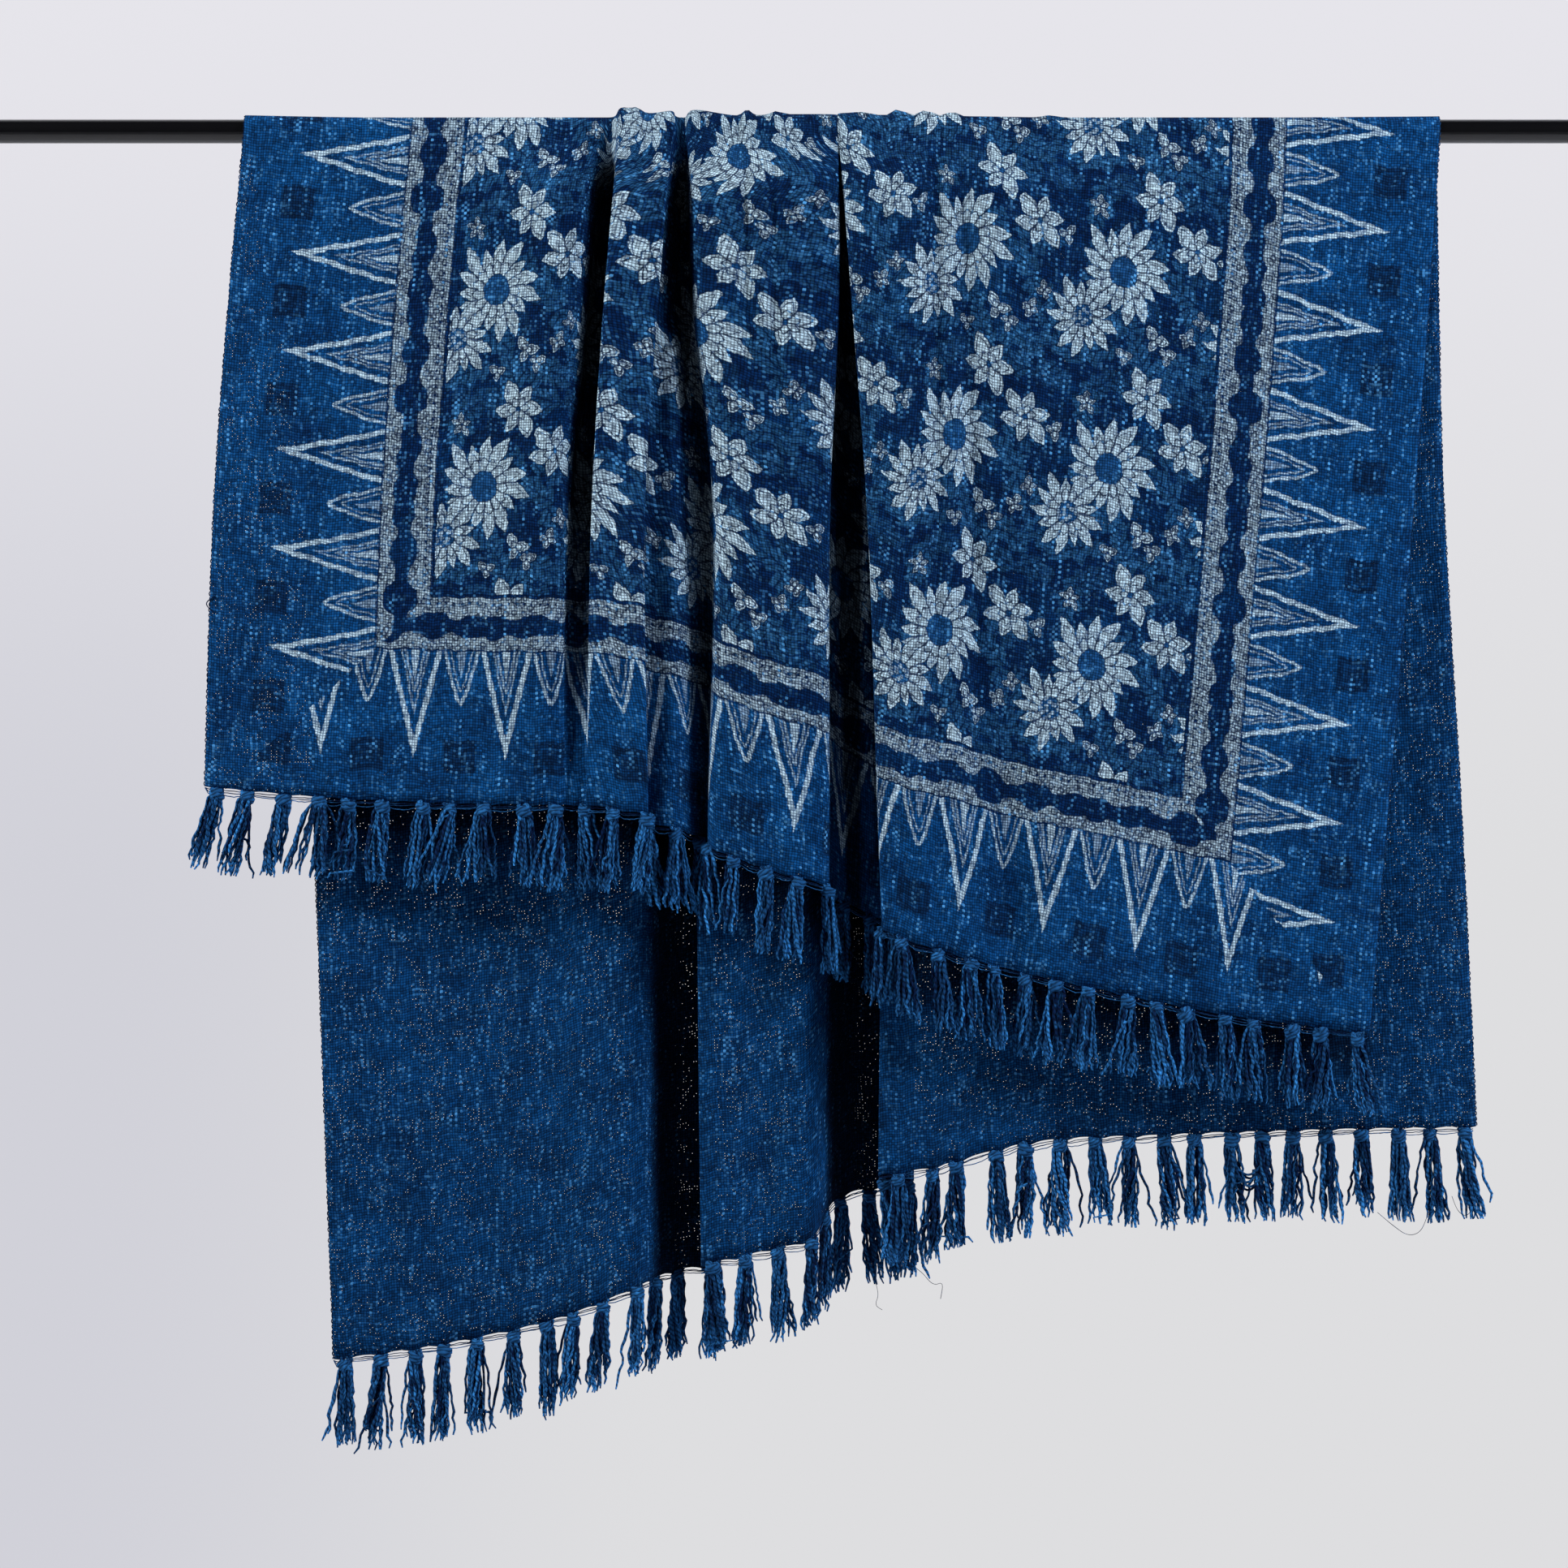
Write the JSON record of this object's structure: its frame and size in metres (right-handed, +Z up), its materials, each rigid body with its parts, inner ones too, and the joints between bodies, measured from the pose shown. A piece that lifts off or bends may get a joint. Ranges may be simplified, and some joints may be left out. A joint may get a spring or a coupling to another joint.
{
  "type": "throw blanket on a hanging rod",
  "caption": "Rectangular cotton throw with knotted tassel ends, hung over a straight round rod in uneven folds.",
  "frame": {"origin": "centre of the rod's left end face, seen from the printed side", "axes": "+X along the rod from its left end to its right end, +Z up, +Y away from the printed side, through the cloth to its back flap"},
  "size_m": [1.524, 0.1237, 1.2454],
  "materials": {
    "blanket": "block-printed indigo cotton in a loose plain weave, paler motifs, plain reverse",
    "front_fringe": "knotted indigo cotton yarn with frayed paler ends",
    "back_fringe": "knotted indigo cotton yarn with frayed paler ends",
    "rod": "gloss black paint"
  },
  "bodies": {
    "root": {"blanket": "blanket", "front_fringe": "front_fringe", "back_fringe": "back_fringe", "rod": "rod"}
  },
  "joints": []
}
